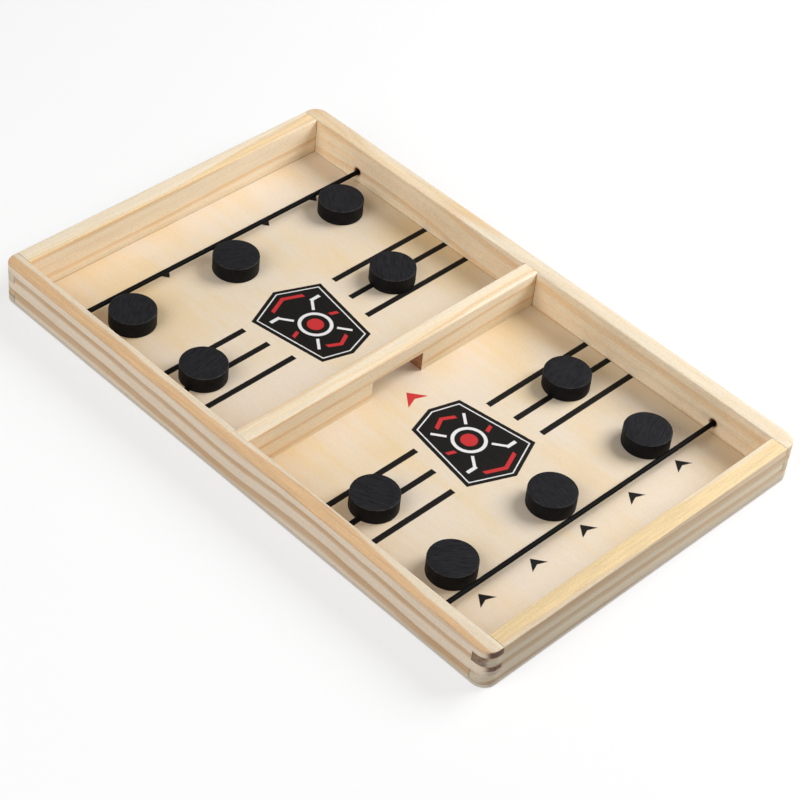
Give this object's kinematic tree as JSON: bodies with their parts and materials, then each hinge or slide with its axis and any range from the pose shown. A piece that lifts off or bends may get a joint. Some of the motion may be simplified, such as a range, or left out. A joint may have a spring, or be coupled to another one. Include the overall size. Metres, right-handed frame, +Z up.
{
  "type": "tabletop hockey game",
  "caption": "Shallow wooden tray with a gated divider across the middle, a taut elastic launching cord near each end and loose black wooden pucks.",
  "frame": {"origin": "under the middle of the board, on the surface it stands on", "axes": "+X across the board to the right rail, +Y along the board to the far end, +Z up"},
  "size_m": [0.221, 0.35, 0.0238],
  "materials": {
    "pine_left_rail": "sanded, bare pine, striped grain",
    "pine_right_rail": "sanded, bare pine, pale",
    "pine_end_rails": "sanded, bare pine, warm yellow",
    "pine_divider": "sanded, bare pine, pale with orange grain",
    "plywood_floor": "smooth satin birch plywood with printed marks",
    "elastic_cord": "fine black braid",
    "black_puck": "black stained wood, satin"
  },
  "bodies": {
    "board": {"base_panel": "plywood_floor", "side_rail_left": "pine_left_rail", "side_rail_right": "pine_right_rail", "end_rail_near": "pine_end_rails", "end_rail_far": "pine_end_rails", "divider": "pine_divider"},
    "near_sling": {"cord_near": "elastic_cord"},
    "far_sling": {"cord_far": "elastic_cord"},
    "puck_near_cord_left": {"puck_near_cord_left": "black_puck"},
    "puck_near_cord_middle": {"puck_near_cord_middle": "black_puck"},
    "puck_near_cord_right": {"puck_near_cord_right": "black_puck"},
    "puck_near_court_left": {"puck_near_court_left": "black_puck"},
    "puck_near_court_right": {"puck_near_court_right": "black_puck"},
    "puck_far_cord_left": {"puck_far_cord_left": "black_puck"},
    "puck_far_cord_middle": {"puck_far_cord_middle": "black_puck"},
    "puck_far_cord_right": {"puck_far_cord_right": "black_puck"},
    "puck_far_court_left": {"puck_far_court_left": "black_puck"},
    "puck_far_court_right": {"puck_far_court_right": "black_puck"}
  },
  "joints": [
    {"name": "cord_near_draw", "type": "slide", "parent": "board", "child": "near_sling", "axis": [0, -1, 0], "range_m": [0, 0.032], "stiffness_N_per_m": 60, "deforming": ["cord_near"]},
    {"name": "cord_far_draw", "type": "slide", "parent": "board", "child": "far_sling", "axis": [0, 1, 0], "range_m": [0, 0.032], "stiffness_N_per_m": 60, "deforming": ["cord_far"]},
    {"name": "puck_near_cord_left_slide", "type": "slide", "parent": "board", "child": "puck_near_cord_left", "axis": [0, 1, 0], "range_m": [-0.0021, 0.0144]},
    {"name": "puck_near_cord_middle_slide", "type": "slide", "parent": "near_sling", "child": "puck_near_cord_middle", "axis": [0, 1, 0], "range_m": [-0.0031, 0.0579]},
    {"name": "puck_near_cord_right_slide", "type": "slide", "parent": "board", "child": "puck_near_cord_right", "axis": [0, 1, 0], "range_m": [-0.0021, 0.0144]},
    {"name": "puck_near_court_left_slide", "type": "slide", "parent": "board", "child": "puck_near_court_left", "axis": [0, 1, 0], "range_m": [-0.0144, 0.0418]},
    {"name": "puck_near_court_right_slide", "type": "slide", "parent": "board", "child": "puck_near_court_right", "axis": [0, 1, 0], "range_m": [-0.0144, 0.0417]},
    {"name": "puck_far_cord_left_slide", "type": "slide", "parent": "board", "child": "puck_far_cord_left", "axis": [0, -1, 0], "range_m": [-0.0012, 0.0141]},
    {"name": "puck_far_cord_middle_slide", "type": "slide", "parent": "far_sling", "child": "puck_far_cord_middle", "axis": [0, -1, 0], "range_m": [-0.0013, 0.1446]},
    {"name": "puck_far_cord_right_slide", "type": "slide", "parent": "board", "child": "puck_far_cord_right", "axis": [0, -1, 0], "range_m": [-0.0002, 0.0207]},
    {"name": "puck_far_court_left_slide", "type": "slide", "parent": "board", "child": "puck_far_court_left", "axis": [0, -1, 0], "range_m": [-0.0141, 0.0431]},
    {"name": "puck_far_court_right_slide", "type": "slide", "parent": "board", "child": "puck_far_court_right", "axis": [0, -1, 0], "range_m": [-0.0207, 0.0385]}
  ]
}
